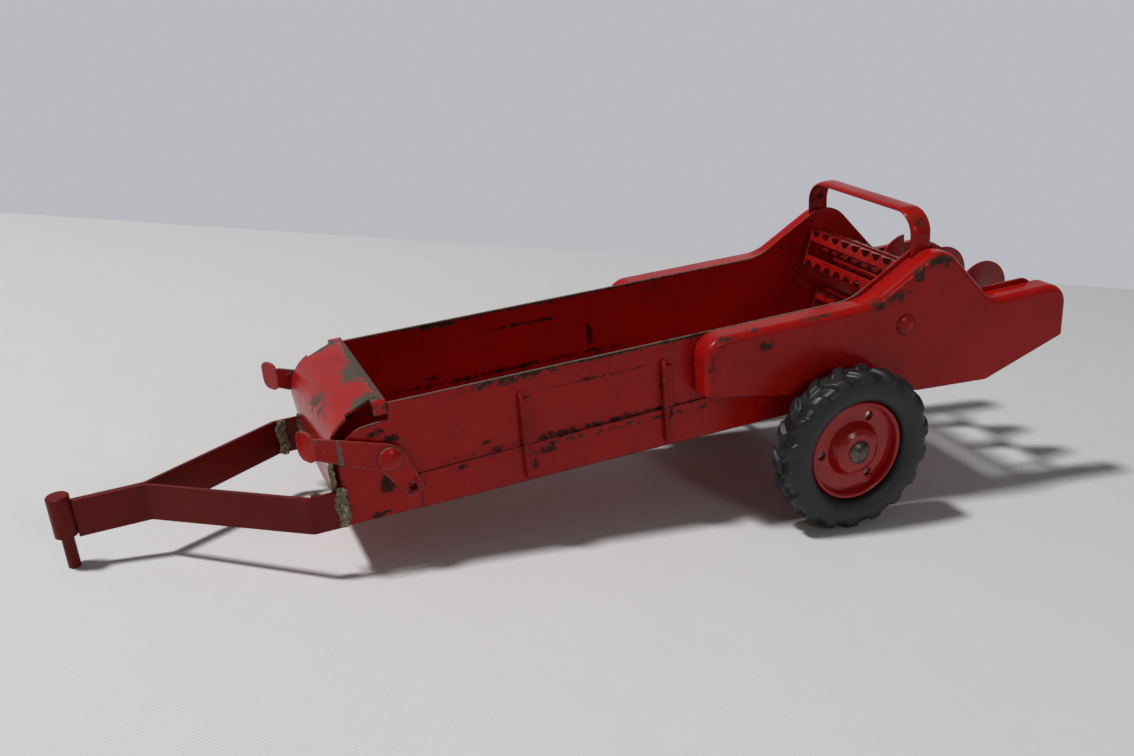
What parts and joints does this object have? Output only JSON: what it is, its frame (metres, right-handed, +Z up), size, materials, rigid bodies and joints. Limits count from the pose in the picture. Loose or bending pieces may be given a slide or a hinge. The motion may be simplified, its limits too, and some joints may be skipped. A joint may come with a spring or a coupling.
{
  "type": "toy manure spreader",
  "caption": "Towed toy manure spreader in pressed steel: open box, curved front, fenders over rubber-tyred wheels, beaters, spreading auger, handle and V drawbar with hitch pin.",
  "frame": {"origin": "middle of the bounding box, on the ground", "axes": "+X forwards to the hitch, +Y to its left, +Z up"},
  "size_m": [0.3852, 0.121, 0.117],
  "materials": {
    "red_enamel": "glossy enamel, worn at the edges",
    "dark_red_enamel": "glossy darker enamel",
    "rubber": "moulded black rubber",
    "steel": "dull worn steel",
    "braze": "rough braze with flux"
  },
  "bodies": {
    "frame": {"side_wall_left": "red_enamel", "fender_left": "red_enamel", "fender_rivet_left": "red_enamel", "stake_front_left": "red_enamel", "stake_rear_left": "red_enamel", "lever_rivet_left": "red_enamel", "drawbar_left": "dark_red_enamel", "braze_left": "braze", "side_wall_right": "red_enamel", "fender_right": "red_enamel", "fender_rivet_right": "red_enamel", "stake_front_right": "red_enamel", "stake_rear_right": "red_enamel", "lever_rivet_right": "red_enamel", "drawbar_right": "dark_red_enamel", "braze_right": "braze", "floor": "red_enamel", "front_panel": "red_enamel", "handle": "red_enamel", "hitch_tube": "dark_red_enamel", "hitch_pin": "dark_red_enamel", "axle": "steel", "axle_hanger": "red_enamel"},
    "lever_left": {"lever_left": "red_enamel"},
    "wheel_left": {"wheel_left": "red_enamel", "tyre_left": "rubber"},
    "lever_right": {"lever_right": "red_enamel"},
    "wheel_right": {"wheel_right": "red_enamel", "tyre_right": "rubber"},
    "upper_beater": {"upper_beater": "red_enamel", "upper_shaft": "steel"},
    "lower_beater": {"lower_beater": "red_enamel", "lower_shaft": "steel"},
    "auger": {"spread_auger": "red_enamel", "auger_shaft": "steel"}
  },
  "joints": [
    {"name": "wheel_left_spin", "type": "hinge", "parent": "frame", "child": "wheel_left", "pos_m": [-0.08597, 0.0533, 0.03175], "axis": [0, 1, 0], "continuous": true},
    {"name": "wheel_right_spin", "type": "hinge", "parent": "frame", "child": "wheel_right", "pos_m": [-0.08597, -0.0533, 0.03175], "axis": [0, 1, 0], "continuous": true},
    {"name": "upper_beater_spin", "type": "hinge", "parent": "frame", "child": "upper_beater", "pos_m": [-0.12275, 0, 0.08574], "axis": [0, 1, 0], "continuous": true},
    {"name": "lower_beater_spin", "type": "hinge", "parent": "frame", "child": "lower_beater", "pos_m": [-0.12882, 0, 0.05979], "axis": [0, 1, 0], "continuous": true},
    {"name": "auger_spin", "type": "hinge", "parent": "frame", "child": "auger", "pos_m": [-0.16614, 0, 0.07243], "axis": [0, 1, 0], "continuous": true},
    {"name": "lever_left_swing", "type": "hinge", "parent": "frame", "child": "lever_left", "pos_m": [0.08599, 0.0351, 0.04166], "axis": [0, 1, 0], "range_deg": [-20, 15]},
    {"name": "lever_right_swing", "type": "hinge", "parent": "frame", "child": "lever_right", "pos_m": [0.08599, -0.0351, 0.04166], "axis": [0, 1, 0], "range_deg": [-20, 15]}
  ]
}
